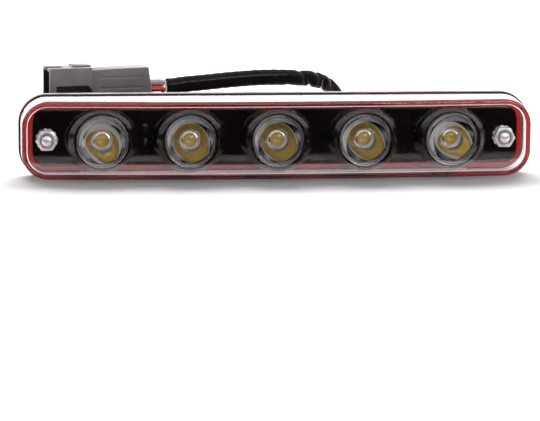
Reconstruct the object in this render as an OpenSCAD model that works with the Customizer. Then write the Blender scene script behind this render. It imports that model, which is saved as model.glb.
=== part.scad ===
/* [Clear cover] */
// Length of the clear cover
cover_length = 187.4; // [184:0.2:220]
// Height of the clear cover
cover_height = 29.4; // [29:0.2:34]
// Corner radius of the clear cover, seen from the front
corner_radius = 10; // [8:0.5:12]
// Thickness of the cover's wall
cover_wall = 1.8; // [1.4:0.1:2]
// Depth of the cover at its two ends
cover_end_depth = 13; // [12.8:0.2:18]
// How far the middle of the cover bows out past its ends
cover_bow = 4; // [2:0.5:6]
// How much the cover narrows on each side towards its front
cover_draft = 0.5; // [0.3:0.1:0.6]
// Radius along the cover's front edge
cover_edge = 1; // [0.8:0.1:2]

/* [Light units] */
// Distance from the last light to the stud beside it
light_margin = 20; // [20:0.5:26]
// How far the lights sit below the middle of the cover
led_drop = 0.6; // [0:0.1:1]
// Radius of the optic's front flange
optic_radius = 8.8; // [8.2:0.1:9]
// Height of the optic from its foot to its front face
optic_height = 10.5; // [9:0.1:10.7]
// Radius of the round recess in the middle of the optic's face
optic_well = 4.2; // [3.5:0.1:5]
// Wall of the cup that holds each optic
holder_wall = 0.7; // [0.5:0.1:0.8]
// Width of the square light-emitting package
led_size = 5; // [4:0.1:5]

/* [Mask and tray] */
// Height of the black mask plate
mask_height = 21.2; // [20:0.2:22]
// Length of the mask plate short of the cover, at both ends together
mask_short = 9.8; // [9:0.2:12]
// Corner radius of the mask plate
mask_corner = 4; // [2:0.5:5]
// Thickness of the mask plate and of its collars
mask_wall = 1.2; // [1:0.1:1.4]
// Radius at the foot of each conical collar
collar_foot = 13.2; // [12:0.1:13.4]
// Radius of the hole in the tray under each light
tray_hole = 9.2; // [8.8:0.1:10]
// Height of the tray's front rim above the flange
tray_rim = 4.8; // [4.4:0.1:5.2]
// Thickness of the tray's floor and walls
tray_wall = 1.5; // [1.2:0.1:1.8]

/* [Rear housing] */
// How far the flange stands out round the cover
flange_lip = 0.4; // [0.2:0.1:1.5]
// Thickness of the flange
flange_thickness = 4; // [3:0.2:5]
// Length of the tub short of the cover, at both ends together
tub_short = 37.4; // [30:0.2:44]
// Height of the tub
tub_height = 25.6; // [25:0.2:27]
// Depth of the tub behind the flange
tub_depth = 20; // [18:0.5:26]
// Wall of the tub
tub_wall = 2.2; // [1.8:0.1:2.4]
// Corner radius of the tub
tub_corner = 4; // [3:0.5:6]
// Width of the seal under the cover's wall
seal_width = 1.5; // [1:0.1:1.6]
// Thickness of the seal
seal_depth = 0.9; // [0.6:0.1:1.2]

/* [Cooling and electronics] */
// Thickness of the metal-backed circuit board
board_thickness = 1.6; // [1:0.1:2]
// Thickness of the heat sink's base plate
sink_base = 3; // [2:0.2:4]
// Thickness of each cooling fin
fin_thickness = 1.4; // [1:0.1:1.8]
// Distance from one fin to the next
fin_pitch = 4.6; // [4:0.2:6]
// Height of the fins short of the tub, top and bottom together
fin_short = 9.6; // [8.8:0.2:14]
// Gap between the last cooling fin and the cable grommet
grommet_gap = 5.6; // [5:0.2:24]
// Length of the driver board
driver_length = 26; // [20:1:26]

/* [Fasteners] */
// Thread diameter of the mounting studs
stud_diameter = 4; // [3:0.5:4]
// Distance from a stud to the end of the cover
stud_inset = 9.7; // [9:0.1:10.5]
// How far the studs stand out behind the flange's shoulder
stud_reach = 13; // [8:0.5:16]
// Nut width across flats
nut_flats = 7; // [6:0.5:7]
// Nut height
nut_height = 3.2; // [2:0.2:3.2]
// Lock washer thickness
washer_thickness = 0.8; // [0.5:0.1:1]

/* [Lead and connector] */
// Diameter of the cable sheath
sheath_diameter = 5.4; // [4.6:0.1:5.6]
// Diameter of each inner wire
wire_diameter = 2.2; // [1.8:0.1:2.3]
// Length of the connector's open shell
shell_length = 16.2; // [14:0.2:18]
// Length of the connector's closed body
plug_body_length = 23; // [18:0.5:24]
// Height of the connector
connector_height = 13; // [11:0.2:13.4]
// Width of the connector, front to back
connector_width = 10; // [9.4:0.2:11]
// Turn of the connector on the tub, its mouth towards the front
connector_turn = 13; // [0:1:14]
// Wall of the connector's shell
shell_wall = 1.2; // [1:0.1:1.4]

/* [Hidden] */
$fn = 48;
LIGHTS = [1 : 5];
fit = 0.3;
seat = 0.1;

// Whole lamp: x runs along it, the front looks along -y, the underside lies at z = 0
half_length = cover_length / 2;
flange_height = cover_height + 2 * flange_lip;
mid_height = flange_height / 2;
led_height = mid_height - led_drop;
cover_depth = cover_end_depth + cover_bow;
rear_depth = flange_thickness + tub_depth;
face_y = (cover_depth - rear_depth) / 2;
stud_x = half_length - stud_inset;
led_pitch = (stud_x - light_margin) / 2;
function light_x(i) = (i - 3) * led_pitch;
// Distance of the cover's front face from the flange, at a place along the lamp
function front_at(x) = cover_end_depth + cover_bow * (1 - pow(x / half_length, 2));

// Optics, cups and collars
led_thickness = 0.9;
dome_radius = 1.9;
optic_foot = led_thickness + seat;
optic_front = optic_foot + optic_height;
holder_radius = optic_radius + fit + holder_wall;
holder_front = optic_front + 0.25;
holder_foot = led_size / 2 * sqrt(2) + 2.6;
collar_mouth = holder_radius + fit;
collar_rim = collar_mouth + mask_wall * 0.3;
mask_back = tray_rim - mask_wall + seat;
mask_front = mask_back + mask_wall;
function rim_at(i) = front_at(abs(light_x(i)) + collar_rim) - cover_wall - 0.5;

// Fasteners along the lamp's middle
stud_radius = stud_diameter / 2;
washer_radius = nut_flats * 0.63;
nut_back = mask_front + washer_thickness;
stud_front = nut_back + nut_height + stud_diameter * 0.2;
stud_dome = stud_diameter * 0.175;
shoulder_thickness = stud_diameter / 2;
shoulder_radius = stud_diameter * 1.05;

// Board and heat sink inside the tub
tub_length = cover_length - tub_short;
tub_mid = tub_height / 2;
inner_length = tub_length - 2 * tub_wall;
inner_height = tub_height - 2 * tub_wall;
ledge = 1.5;
fin_height = tub_height - fin_short;
sink_back = board_thickness + sink_base;
tub_floor = rear_depth - tub_wall;
fin_start = -inner_length / 2 + ledge + 2;
screw_places = [for (k = [-1.5 : 1 : 1.5]) k * led_pitch];
screw_radius = 1.25;
screw_head = 2.4;

// Driver at the right end, then the grommet, then the fins
driver_x = inner_length / 2 - ledge - driver_length / 2 - 1;
driver_gap = 10.3;
grommet_x = driver_x - driver_length / 2 - driver_gap;
grommet_z = 10;
grommet_neck = sheath_diameter / 2 + 1.4;
grommet_skirt = grommet_neck + 1.6;
grommet_length = 9;
fin_end = grommet_x - grommet_skirt - grommet_gap;
fin_count = floor((fin_end - fin_start - fin_thickness) / fin_pitch) + 1;
fin_span = (fin_count - 1) * fin_pitch + fin_thickness;
driver_height = inner_height - 2 * ledge - 4.2;
driver_thickness = 1.6;
driver_back = sink_back + 9;
coil_radius = 4.5;

// Connector, lying on top of the tub and turned about its front corner at the mouth
connector_inset = 11.35;
connector_left = connector_inset - half_length;
connector_front = -flange_thickness - 2.5;
plug_length = shell_length + plug_body_length;
plug_middle = connector_width / 2;
plug_centre = connector_height / 2;
seal_length = 3.2;
terminal_width = 1.8;
terminal_length = 7;
terminal_rise = 2.4;
// A point of the connector, as a place along the lamp, forward of the flange and up
function at_plug(p) = [
    connector_left + cos(connector_turn) * p[0] - sin(connector_turn) * p[1],
    connector_front - sin(connector_turn) * p[0] - cos(connector_turn) * p[1],
    tub_height + p[2]
];

// Points of the lead: place along the lamp, forward of the flange, height
bare_wire = 6.8;
sheath_end = at_plug([plug_length + bare_wire, plug_middle + 0.4, plug_centre - 2.1]);
function along(share) = sheath_end[0] + (grommet_x - sheath_end[0]) * share;
sheath_route = [
    [grommet_x, -rear_depth - 2, grommet_z],
    [grommet_x, -rear_depth - 7, grommet_z],
    [grommet_x, -rear_depth - 11.5, grommet_z + 0.2],
    [along(0.986), -rear_depth - 17.5, grommet_z + 3.5],
    [along(0.944), -rear_depth - 20, grommet_z + 10],
    [along(0.882), -rear_depth - 17, tub_height + 0.9],
    [along(0.79), -rear_depth - 12, tub_height + 4.5],
    [along(0.668), -rear_depth - 7, tub_height + 6],
    [along(0.503), -rear_depth - 3.5, tub_height + 6.6],
    [along(0.337), -rear_depth - 1.5, tub_height + 6.1],
    [along(0.171), -rear_depth + 0.3, tub_height + 5.2],
    sheath_end
];
// Where the wires enter the connector, across and up from its middle: red, white, black
wire_places = [[-1.2, -2.9], [-1.2, -0.2], [1.6, -1.4]];
// Where the wires leave the sheath, from the middle of its end
wire_starts = [[-0.7, 1.2, -1.35], [-0.9, 1.2, 1.45], [-0.9, -1.1, 0]];
function wire_route(k) = concat(
    [sheath_end + wire_starts[k]],
    [for (x = [bare_wire * 0.6, bare_wire * 0.22, -1.4])
        at_plug([plug_length + x, plug_middle + wire_places[k][0], plug_centre + wire_places[k][1]])]
);

// Turns the drawing plane to the lamp's face: x along, y up, z forward from the flange
module face() {
    translate([0, face_y, 0]) rotate([90, 0, 0]) children();
}
// A point given along the lamp, forward of the flange and up
function place(p) = [p[0], face_y - p[1], p[2]];

module rounded(length, height, radius) {
    square([length - 2 * radius, height], center = true);
    square([length, height - 2 * radius], center = true);
    for (x = [-1, 1]) {
        for (y = [-1, 1]) {
            translate([x * (length / 2 - radius), y * (height / 2 - radius)]) circle(radius);
        }
    }
}
// The cover's outline drawn in by an inset
module cover_outline(inset) {
    rounded(cover_length - 2 * inset, cover_height - 2 * inset, corner_radius - inset);
}
module at_lights() {
    for (i = LIGHTS) {
        translate([light_x(i), led_height, 0]) children();
    }
}
module at_studs() {
    for (x = [-stud_x, stud_x]) {
        translate([x, led_height, 0]) children();
    }
}

// Clear cover: rings of one outline, bowed forward along the lamp
corner_steps = 8;
edge_steps = 4;
bow_steps = 14;
function arc(x, y, r, from, to) = [for (k = [0 : corner_steps])
    let (t = from + (to - from) * k / corner_steps) [x + r * cos(t), y + r * sin(t)]];
function top_edge(a, b, r) = concat(
    arc(r - a, b - r, r, 180, 90),
    [for (k = [1 : bow_steps - 1]) [(a - r) * (2 * k / bow_steps - 1), b]],
    arc(a - r, b - r, r, 90, 0)
);
function bowed(p, base, share) = [p[0], p[1], base + share * (front_at(p[0]) - cover_end_depth)];
function cover_ring(inset, base, share) =
    let (top = top_edge(half_length - inset, cover_height / 2 - inset, corner_radius - inset))
    let (last = len(top) - 1)
    concat(
        [for (k = [0 : last]) bowed(top[last - k], base, share)],
        [for (k = [0 : last]) bowed([top[k][0], -top[k][1]], base, share)]
    );
// Rings of one skin, from the flange to the front face
function cover_skin(inset, depth, edge) = concat(
    [cover_ring(inset, 0, 0), cover_ring(inset + cover_draft / 2, (depth - edge) / 2, 0.5)],
    [for (k = [0 : edge_steps])
        let (t = 90 * k / edge_steps)
        cover_ring(inset + cover_draft + edge * (1 - cos(t)), depth - edge + edge * sin(t), 1)]
);
module lens_cover() {
    outer = cover_skin(0, cover_end_depth, cover_edge);
    inner = cover_skin(cover_wall, cover_end_depth - cover_wall, max(cover_edge - cover_wall, 0.4));
    rings = concat(outer, inner);
    n = len(outer[0]);
    m = len(outer);
    half = n / 2;
    side = [for (i = [0 : m - 2]) for (k = [0 : n - 1])
        let (q = (k + 1) % n) [i * n + k, (i + 1) * n + k, (i + 1) * n + q, i * n + q]];
    bore = [for (i = [m : 2 * m - 2]) for (k = [0 : n - 1])
        let (q = (k + 1) % n) [i * n + k, i * n + q, (i + 1) * n + q, (i + 1) * n + k]];
    rim = [for (k = [0 : n - 1]) let (q = (k + 1) % n) [k, q, m * n + q, m * n + k]];
    first = (m - 1) * n;
    second = (2 * m - 1) * n;
    front = [for (k = [0 : half - 2]) [first + k + 1, first + k, first + n - 1 - k, first + n - 2 - k]];
    back = [for (k = [0 : half - 2]) [second + k, second + k + 1, second + n - 2 - k, second + n - 1 - k]];
    color([0.9, 0.92, 0.95, 0.3]) face() translate([0, mid_height, 0])
        polyhedron([for (r = rings) for (p = r) p], concat(side, bore, rim, front, back), convexity = 6);
}

// Red tray between the flange and the mask, with a raised rim round the mask
tray_inset = cover_wall + cover_draft + fit;
module tray_pocket(grow) {
    rounded(cover_length - mask_short + 2 * grow, mask_height + 2 * grow, mask_corner + grow);
}
module red_tray() {
    color([0.55, 0.05, 0.05]) face() {
        difference() {
            translate([0, mid_height, 0]) linear_extrude(tray_rim) cover_outline(tray_inset);
            translate([0, mid_height, mask_back - seat]) linear_extrude(tray_rim) tray_pocket(fit);
            translate([0, mid_height, -1])
                linear_extrude(1 + mask_back - seat - tray_wall) cover_outline(tray_inset + tray_wall);
            at_lights() translate([0, 0, -1]) cylinder(r = tray_hole, h = tray_rim + 2);
            at_studs() translate([0, 0, -1]) cylinder(r = stud_radius + fit, h = tray_rim + 2);
        }
        at_studs() difference() {
            cylinder(r = shoulder_radius, h = mask_back - seat - tray_wall + 0.2);
            translate([0, 0, -1]) cylinder(r = stud_radius + fit, h = tray_rim + 2);
        }
    }
}

// Black mask: a plate with a conical collar round each light, trimmed to the cover
module collar(i) {
    translate([light_x(i), led_height, mask_front])
        cylinder(r1 = collar_foot, r2 = collar_rim, h = rim_at(i) - mask_front);
}
module collar_bore(i) {
    depth = rim_at(i) - mask_back;
    translate([light_x(i), led_height, mask_back - 0.01])
        cylinder(r1 = collar_foot - mask_wall, r2 = collar_mouth, h = depth + 0.02);
}
// Two locating pips between the first two lights: height above the lights, radius
mask_pips = [[4.4, 1.3], [-0.8, 1]];
module black_mask() {
    color([0.05, 0.05, 0.05]) face() difference() {
        intersection() {
            union() {
                translate([0, mid_height, mask_back]) linear_extrude(mask_wall) tray_pocket(0);
                for (i = LIGHTS) {
                    collar(i);
                }
                for (p = mask_pips) {
                    translate([light_x(1) + led_pitch / 2, led_height + p[0], mask_front - 0.1])
                        cylinder(r = p[1], h = 0.6);
                }
            }
            translate([0, mid_height, 0]) linear_extrude(cover_depth) cover_outline(tray_inset);
        }
        for (i = LIGHTS) {
            collar_bore(i);
        }
        at_studs() cylinder(r = stud_radius + fit, h = cover_depth);
    }
}

// Rear housing: flange, tub with a window for the fins, ledge, driver posts and groove
module rear_housing() {
    color([0.08, 0.08, 0.09]) face() difference() {
        union() {
            translate([0, mid_height, -flange_thickness]) linear_extrude(flange_thickness)
                rounded(cover_length + 2 * flange_lip, flange_height, corner_radius + flange_lip);
            translate([0, tub_mid, -rear_depth]) linear_extrude(rear_depth - 0.5)
                rounded(tub_length, tub_height, tub_corner);
        }
        difference() {
            union() {
                translate([0, tub_mid, -sink_back])
                    linear_extrude(sink_back + 1) rounded(inner_length, inner_height, tub_corner - 2);
                translate([0, tub_mid, -tub_floor]) linear_extrude(tub_floor)
                    rounded(inner_length - 2 * ledge, inner_height - 2 * ledge, tub_corner - 2);
            }
            for (x = [-1, 1]) {
                translate([driver_x + x * (driver_length / 2 - 3), tub_mid, -tub_floor - 0.5])
                    cylinder(r = 2, h = tub_floor + 0.5 - driver_back - driver_thickness);
            }
        }
        translate([fin_start - 0.6, tub_mid - fin_height / 2 - 0.6, -rear_depth - 1])
            cube([fin_span + 1.2, fin_height + 1.2, tub_wall + 2]);
        translate([grommet_x, grommet_z, -rear_depth - 1])
            cylinder(r = grommet_neck + 0.05, h = tub_wall + 2);
        at_studs() translate([0, 0, -flange_thickness - 1])
            cylinder(r = stud_radius + fit, h = flange_thickness + 2);
        translate([0, mid_height, -seal_depth]) linear_extrude(seal_depth + 1) difference() {
            cover_outline((cover_wall - seal_width) / 2 - 0.05);
            cover_outline((cover_wall + seal_width) / 2 + 0.05);
        }
    }
}
module lens_seal() {
    color([0.6, 0.05, 0.05]) face() translate([0, mid_height, -seal_depth])
        linear_extrude(seal_depth) difference() {
            cover_outline((cover_wall - seal_width) / 2);
            cover_outline((cover_wall + seal_width) / 2);
        }
}

// Moulded optic: a bowl, its wall a parabola about the light, with a cavity and a well
optic_rim = 1.3;
function bowl_radius(h, focal) = 2 * sqrt(focal * (h + focal));
module optic(i) {
    bowl_height = optic_height - optic_rim;
    bowl_mouth = optic_radius - 0.5;
    focal = (norm([bowl_height, bowl_mouth]) - bowl_height) / 2;
    bowl = [for (k = [0 : 12]) let (h = bowl_height * k / 12) [bowl_radius(h, focal), h]];
    well_depth = optic_height * 0.42;
    well = [for (k = [0 : 6]) let (t = 90 * k / 6)
        [optic_well - 0.2 * (1 - cos(t)), optic_height - well_depth * sin(t)]];
    eye = [for (k = [1 : 6]) let (r = optic_well - 0.3)
        [r * (1 - k / 6), optic_height - well_depth + 1.5 * (1 - pow(1 - k / 6, 2))]];
    cavity_radius = dome_radius + 0.5;
    cavity = [for (k = [0 : 5]) let (t = 90 * k / 5)
        [cavity_radius * sin(t), dome_radius + 2 - 0.9 * (1 - cos(t))]];
    section = concat(bowl, [[optic_radius, bowl_height], [optic_radius, optic_height]], well, eye, cavity);
    color([0.95, 0.96, 0.98, 0.5]) face() translate([light_x(i), led_height, optic_foot])
        rotate_extrude() polygon(concat(section, [[cavity_radius, 0]]));
}
// Cup that carries the optic on the circuit board
holder_lip = 2.4;
function cup_side(shift) = [for (k = [0 : 8]) let (t = k / 8)
    [holder_foot - shift + (holder_radius - holder_foot) * pow(t, 0.75), (holder_front - holder_lip) * t]];
module optic_holder(i) {
    outer = cup_side(0);
    inner = cup_side(holder_wall);
    rim = [[holder_radius, holder_front], [holder_radius - holder_wall, holder_front]];
    color([0.9, 0.9, 0.9]) face() translate([light_x(i), led_height, 0])
        rotate_extrude() polygon(concat(outer, rim, [for (k = [8 : -1 : 0]) inner[k]]));
}
module led_package(i) {
    color([0.95, 0.95, 0.92]) face() translate([light_x(i), led_height, 0]) difference() {
        translate([-led_size / 2, -led_size / 2, 0]) cube([led_size, led_size, led_thickness]);
        translate([0, 0, led_thickness - 0.25]) cylinder(r = dome_radius + 0.05, h = 1);
    }
}
module led_dome(i) {
    color([0.95, 0.8, 0.2]) face() translate([light_x(i), led_height, led_thickness - 0.25]) {
        cylinder(r = dome_radius, h = 0.3);
        translate([0, 0, 0.3]) difference() {
            scale(1) sphere(r = dome_radius);
            translate([0, 0, -dome_radius]) cube(2 * dome_radius, center = true);
        }
    }
}

// Circuit board and heat sink, screwed together and seated on the tub's ledge
module board_outline() {
    translate([0, tub_mid]) rounded(inner_length - 2 * fit, inner_height - 2 * fit, tub_corner - 2);
}
module circuit_board() {
    color([0.9, 0.9, 0.88]) face() translate([0, 0, -board_thickness])
        linear_extrude(board_thickness) difference() {
            board_outline();
            for (x = screw_places) {
                translate([x, led_height]) circle(screw_radius + 0.15);
            }
        }
}
module heat_sink() {
    color([0.7, 0.7, 0.72]) face() difference() {
        union() {
            translate([0, 0, -sink_back]) linear_extrude(sink_base) board_outline();
            for (k = [0 : fin_count - 1]) {
                translate([fin_start + k * fin_pitch, tub_mid - fin_height / 2, -rear_depth])
                    cube([fin_thickness, fin_height, rear_depth - sink_back + 0.5]);
            }
        }
        for (x = screw_places) {
            translate([x, led_height, -board_thickness - sink_base + 0.6])
                cylinder(r = screw_radius + 0.02, h = sink_base);
        }
    }
}
module board_screws() {
    color([0.6, 0.6, 0.62]) face() for (x = screw_places) {
        translate([x, led_height, 0]) difference() {
            union() {
                translate([0, 0, -board_thickness - sink_base + 0.7])
                    cylinder(r = screw_radius, h = board_thickness + sink_base - 0.7);
                cylinder(r = screw_head, h = 1.3);
            }
            translate([-0.3, -screw_head, 0.7]) cube([0.6, 2 * screw_head, 1]);
            translate([-screw_head, -0.3, 0.7]) cube([2 * screw_head, 0.6, 1]);
        }
    }
}

// Driver electronics on two posts inside the tub
module driver_board() {
    color([0.1, 0.35, 0.15]) face() translate([driver_x, tub_mid, -driver_back - driver_thickness / 2])
        cube([driver_length, driver_height, driver_thickness], center = true);
}
module driver_coil() {
    core = 1.2;
    waist = coil_radius - 1;
    section = [[core, 0], [coil_radius, 0], [coil_radius, 1], [waist, 1.3], [waist, 4.2], [coil_radius, 4.5],
        [coil_radius, 5.5], [core, 5.5]];
    color([0.3, 0.2, 0.12]) face() translate([driver_x - driver_length / 4, tub_mid, -driver_back])
        rotate_extrude() polygon(section);
}
module driver_chip() {
    color([0.12, 0.12, 0.12]) face() translate([driver_x + driver_length / 4, tub_mid, -driver_back])
        union() {
            translate([-3.5, -2.6, 0.2]) cube([7, 5.2, 2.2]);
            for (k = [-1.5 : 1 : 1.5]) {
                translate([k * 1.7 - 0.3, -4, 0]) cube([0.6, 8, 0.6]);
            }
        }
}

// Studs, lock washers and nuts at the two ends
module mounting_stud(x) {
    behind = flange_thickness + shoulder_thickness;
    color([0.75, 0.75, 0.77]) face() translate([x, led_height, 0]) {
        translate([0, 0, -behind - stud_reach])
            cylinder(r = stud_radius, h = behind + stud_reach + stud_front - stud_dome);
        translate([0, 0, stud_front - stud_dome])
            cylinder(r1 = stud_radius, r2 = stud_radius * 0.6, h = stud_dome);
        translate([0, 0, -behind]) cylinder(r = shoulder_radius, h = shoulder_thickness);
    }
}
module lock_washer(x) {
    color([0.7, 0.7, 0.7]) face() translate([x, led_height, mask_front]) linear_extrude(washer_thickness)
        difference() {
            circle(washer_radius - 0.3);
            circle(stud_radius + 0.05);
            for (k = [0 : 11]) {
                rotate(30 * k) translate([washer_radius - 0.55, 0]) square([1, 0.6], center = true);
            }
        }
}
module nut(x) {
    corner = nut_flats / sqrt(3);
    chamfer = 0.5;
    recess = 1.1;
    color([0.72, 0.72, 0.75]) face() translate([x, led_height, nut_back]) difference() {
        intersection() {
            cylinder(r = corner, h = nut_height, $fn = 6);
            union() {
                cylinder(r = corner + 0.1, h = nut_height - chamfer);
                translate([0, 0, nut_height - chamfer])
                    cylinder(r1 = corner + 0.1, r2 = nut_flats / 2 - 0.1, h = chamfer);
            }
        }
        translate([0, 0, -1]) cylinder(r = stud_radius + 0.05, h = nut_height + 2);
        translate([0, 0, nut_height - recess]) cylinder(r = stud_radius + 0.6, h = recess + 1);
    }
}

// Rubber grommet in the tub's rear wall, with a tapered tail round the sheath
module cable_grommet() {
    bore = sheath_diameter / 2 + 0.15;
    tail = bore + 0.9;
    inside = tub_wall + 1.4;
    clip = grommet_skirt - 0.6;
    rib_depth = 0.7;
    head = [[bore, -inside], [clip, -inside], [clip, -tub_wall], [grommet_neck, -tub_wall], [grommet_neck, 0],
        [grommet_skirt, 0], [grommet_skirt, 2.2]];
    ribs = [for (k = [0 : 2]) let (z = 3.2 + k * 1.9, r = grommet_skirt - 0.9 - k * 0.35)
        each [[r, z], [r - rib_depth, z + 0.5], [r - rib_depth, z + 1.2]]];
    color([0.1, 0.1, 0.1]) face() translate([grommet_x, grommet_z, -rear_depth]) rotate([180, 0, 0])
        rotate_extrude() polygon(concat(head, ribs, [[tail, grommet_length], [bore, grommet_length]]));
}

// The lead: tubes swept along their routes
function unit(v) = v / norm(v);
function between(p, i, t) =
    let (a = p[max(i - 1, 0)], b = p[i], c = p[i + 1], d = p[min(i + 2, len(p) - 1)])
    0.5 * (2 * b + (c - a) * t + (2 * a - 5 * b + 4 * c - d) * t * t + (3 * b - 3 * c + d - a) * t * t * t);
function smooth(p, steps) = concat(
    [for (i = [0 : len(p) - 2]) for (k = [0 : steps - 1]) between(p, i, k / steps)], [p[len(p) - 1]]);
function heading(p, i) = unit(p[min(i + 1, len(p) - 1)] - p[max(i - 1, 0)]);
// The side direction carried from ring to ring without twist
function carried(p, u, i) =
    let (t = heading(p, i), w = unit(u - (u * t) * t))
    i == len(p) - 1 ? [w] : concat([w], carried(p, w, i + 1));
module tube(route, diameter, sides, steps) {
    p = smooth([for (q = route) place(q)], steps);
    u = carried(p, [0, 0.1, 1], 0);
    n = sides;
    last = len(p) - 1;
    points = [for (i = [0 : last]) let (v = cross(heading(p, i), u[i])) for (k = [0 : n - 1])
        p[i] + diameter / 2 * (cos(360 * k / n) * u[i] + sin(360 * k / n) * v)];
    walls = [for (i = [0 : last - 1]) for (k = [0 : n - 1])
        let (q = (k + 1) % n) [i * n + k, (i + 1) * n + k, (i + 1) * n + q, i * n + q]];
    ends = [[for (k = [0 : n - 1]) k], [for (k = [n - 1 : -1 : 0]) last * n + k]];
    polyhedron(points, concat(walls, ends), convexity = 8);
}
module cable_sheath() {
    color([0.07, 0.07, 0.07]) tube(sheath_route, sheath_diameter, 10, 2);
}
module wire_red() {
    color([0.8, 0.08, 0.08]) tube(wire_route(0), wire_diameter, 8, 2);
}
module wire_black() {
    color([0.05, 0.05, 0.05]) tube(wire_route(2), wire_diameter, 8, 2);
}
module wire_white() {
    color([0.92, 0.9, 0.85]) tube(wire_route(1), wire_diameter, 8, 2);
}

// Connector, drawn along x with its width towards the back and its height up
module on_tub() {
    translate([connector_left, face_y - connector_front, tub_height])
        rotate([0, 0, connector_turn]) children();
}
module connector_shell() {
    mouth_depth = shell_length - 2;
    latch_length = 7;
    guide_length = 6;
    slot = shell_length - 4.5;
    color([0.12, 0.12, 0.12]) on_tub() difference() {
        union() {
            cube([shell_length, connector_width, connector_height]);
            translate([shell_length - latch_length, 2, connector_height])
                cube([latch_length, connector_width - 4, 0.8]);
        }
        translate([-1, shell_wall, shell_wall])
            cube([mouth_depth + 1, connector_width - 2 * shell_wall, connector_height - 2 * shell_wall]);
        translate([-1, plug_middle - 1.5, connector_height - shell_wall - 1]) cube([guide_length + 1, 3, 4]);
        for (z = [-1, 1]) {
            translate([mouth_depth - 1, plug_middle, plug_centre + z * terminal_rise - 1])
                cube([shell_length, 0.02 + terminal_width, 2]);
        }
        // Slot along the front side, drawn to a point like an arrow
        translate([2.5, 0.5, connector_height * 0.36]) rotate([90, 0, 0])
            linear_extrude(1) polygon([[0, -1.7], [slot, -1.7], [slot + 1.8, 0], [slot, 1.7], [0, 1.7]]);
    }
}
module connector_body() {
    groove_depth = 0.5;
    side_step = 0.6;
    right = plug_body_length;
    side = [[0, 0], [right - 1, 0], [right, connector_height * 0.3], [right - 1.2, connector_height - 0.6],
        [right * 0.4, connector_height - 0.8], [0, connector_height - 1.1]];
    color([0.1, 0.1, 0.1]) on_tub() translate([shell_length, 0, 0]) difference() {
        translate([0, connector_width - side_step, 0]) rotate([90, 0, 0])
            linear_extrude(connector_width - 2 * side_step) polygon(side);
        for (z = [0.36, 0.66]) {
            translate([3, -1, connector_height * z])
                cube([right - 7, 1 + side_step + groove_depth, 0.6]);
        }
        translate([right - seal_length, plug_middle - 3.4, plug_centre - 4.7])
            cube([seal_length + 1, 6.8, 7.8]);
    }
}
module connector_wire_seal() {
    color([0.35, 0.35, 0.36]) on_tub() difference() {
        translate([plug_length - seal_length, plug_middle - 3.3, plug_centre - 4.6])
            cube([seal_length - 0.4, 6.6, 7.6]);
        for (w = wire_places) {
            translate([plug_length - 1.5, plug_middle + w[0], plug_centre + w[1]]) rotate([0, 90, 0])
                cylinder(r = wire_diameter / 2 + 0.05, h = bare_wire);
        }
    }
}
module connector_terminals() {
    start = shell_length - 2 - terminal_length;
    color([0.8, 0.65, 0.3]) on_tub() for (z = [-1, 1]) {
        translate([start, plug_middle + 0.01, plug_centre + z * terminal_rise - 0.4])
            cube([terminal_length + 1.9, terminal_width, 0.8]);
    }
}

lens_cover();
red_tray();
black_mask();
rear_housing();
lens_seal();
circuit_board();
heat_sink();
for (i = LIGHTS) {
    optic(i);
    optic_holder(i);
    led_package(i);
    led_dome(i);
}
board_screws();
driver_board();
driver_coil();
driver_chip();
mounting_stud(-stud_x);  // mounting_stud_left
mounting_stud(stud_x);  // mounting_stud_right
nut(-stud_x);  // nut_left
nut(stud_x);  // nut_right
lock_washer(-stud_x);  // lock_washer_left
lock_washer(stud_x);  // lock_washer_right
cable_grommet();
cable_sheath();
wire_red();
wire_black();
wire_white();
connector_shell();
connector_body();
connector_terminals();
connector_wire_seal();
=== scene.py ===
# %% [markdown]
# # A daytime running light
# A slim car lamp: a bowed clear cover over a polished black mask, five round optics in
# bright cups, and a short lead lying along the top. The lamp's solids come in first as a
# fixed frame, in metres. Most pieces are then made anew as smooth surfaces that take their
# place from the solids' boxes, and each of them stands for one of the solids.

# %% Load the frame
import math
import bmesh
import bpy
import numpy as np
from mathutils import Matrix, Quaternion, Vector


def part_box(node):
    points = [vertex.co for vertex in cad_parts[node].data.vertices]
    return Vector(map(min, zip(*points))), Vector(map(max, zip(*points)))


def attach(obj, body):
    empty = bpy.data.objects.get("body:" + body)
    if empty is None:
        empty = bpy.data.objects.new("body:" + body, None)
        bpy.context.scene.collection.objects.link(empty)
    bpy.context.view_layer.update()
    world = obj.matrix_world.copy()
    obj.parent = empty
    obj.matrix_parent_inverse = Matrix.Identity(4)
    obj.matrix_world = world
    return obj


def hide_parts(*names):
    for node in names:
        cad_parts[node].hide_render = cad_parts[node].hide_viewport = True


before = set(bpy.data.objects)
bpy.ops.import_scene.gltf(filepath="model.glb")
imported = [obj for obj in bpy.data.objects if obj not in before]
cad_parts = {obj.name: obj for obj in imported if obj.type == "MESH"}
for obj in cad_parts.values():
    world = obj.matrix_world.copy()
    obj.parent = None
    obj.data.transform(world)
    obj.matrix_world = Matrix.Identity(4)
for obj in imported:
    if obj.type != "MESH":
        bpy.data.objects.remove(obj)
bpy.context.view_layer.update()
print("solids loaded:", len(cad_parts))

# %% [markdown]
# The lamp's own axes are easier to think in than the frame's: along the lamp, up, and
# forward from the flange's front plane, all in millimetres. One function turns such points
# into the frame, so no other line has to think of metres or of which way the lamp faces.

# %% The lamp's own axes
MM = 0.001


def box_of(node):
    """Low and high corner of a solid's box, in mm of the frame."""
    return [np.array(corner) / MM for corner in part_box(node)]


cover_low, cover_high = box_of("lens_cover")
FACE_Y = cover_high[1]


def to_world(points):
    """Lamp points (along, up, forward in mm) as frame points (x, y, z in m)."""
    p = np.asarray(points, float).reshape(-1, 3)
    return np.stack([p[:, 0], FACE_Y - p[:, 2], p[:, 1]], 1) * MM


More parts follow.
